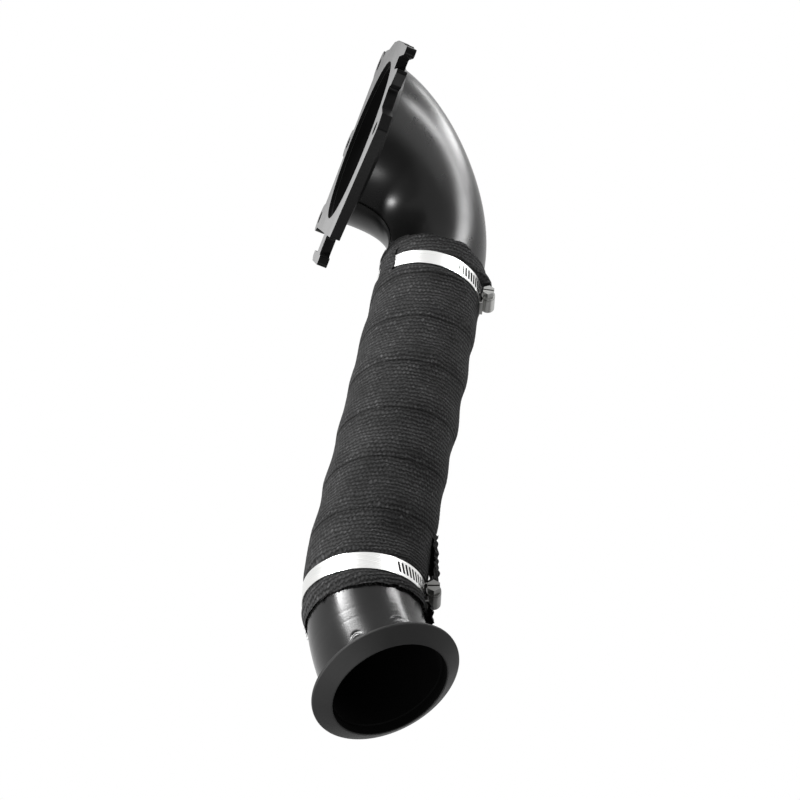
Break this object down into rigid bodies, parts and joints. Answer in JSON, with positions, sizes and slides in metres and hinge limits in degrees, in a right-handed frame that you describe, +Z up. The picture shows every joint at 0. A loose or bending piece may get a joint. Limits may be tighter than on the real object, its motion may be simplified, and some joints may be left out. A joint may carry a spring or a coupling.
{
  "type": "turbo downpipe",
  "caption": "Wrapped turbo downpipe: bolted mating plate, bell elbow, down tube under woven heat tape held by worm clamps, and a flared ball-seat outlet.",
  "frame": {"origin": "centre of the inlet port on the plate's mating face", "axes": "+X into the pipe along the port's axis, +Z up, the tube runs down -Z"},
  "size_m": [0.1522, 0.2304, 0.6116],
  "materials": {
    "coated_plate": "satin black heat coating on steel plate",
    "coated_pipe": "satin black heat coating on steel tube",
    "coated_weld": "weld bead under the same black coating",
    "heat_tape": "charcoal woven glass-fibre exhaust tape",
    "clamp_band": "bright stainless strip",
    "clamp_steel": "bright stainless pressing and screw"
  },
  "bodies": {
    "root": {"turbine_flange": "coated_plate", "elbow_half_near": "coated_pipe", "elbow_half_far": "coated_pipe", "elbow_seam_weld": "coated_weld", "flange_weld": "coated_weld", "tube_joint_weld": "coated_weld", "down_tube": "coated_pipe", "ball_seat": "coated_plate", "ball_seat_weld": "coated_weld", "heat_wrap": "heat_tape", "upper_clamp_band": "clamp_band", "upper_clamp_housing": "clamp_steel", "upper_clamp_screw": "clamp_steel", "lower_clamp_band": "clamp_band", "lower_clamp_housing": "clamp_steel", "lower_clamp_screw": "clamp_steel"}
  },
  "joints": []
}
